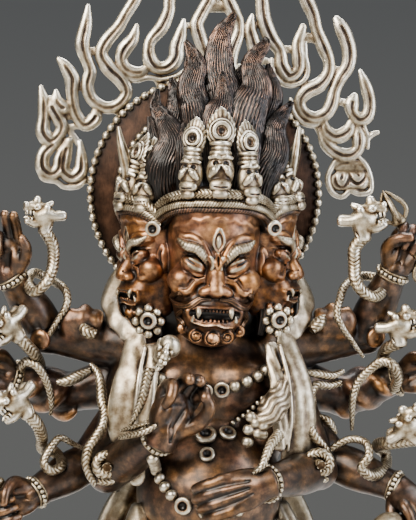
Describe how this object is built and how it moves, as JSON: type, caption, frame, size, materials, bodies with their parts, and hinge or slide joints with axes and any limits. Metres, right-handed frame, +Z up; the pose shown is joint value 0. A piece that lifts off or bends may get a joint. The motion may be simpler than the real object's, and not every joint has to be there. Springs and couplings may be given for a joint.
{
  "type": "wrathful guardian statue",
  "caption": "Cast copper guardian figure with three faces, many arms, cast-on serpents and a silvered flame halo, standing on a low oval lotus base.",
  "frame": {"origin": "middle of the lotus base's flat underside", "axes": "+Z up; the figure faces -Y, and its own left side is +X"},
  "size_m": [0.1779, 0.092, 0.3579],
  "materials": {
    "copper": "cast copper with a polished dark brown patina",
    "silver": "soft silver plating, aged brown in the recesses"
  },
  "bodies": {
    "root": {"lotus_base": "copper", "figure": "copper", "flame_halo": "silver", "held_vajra": "silver", "held_mace": "silver", "held_noose": "silver"}
  },
  "joints": []
}
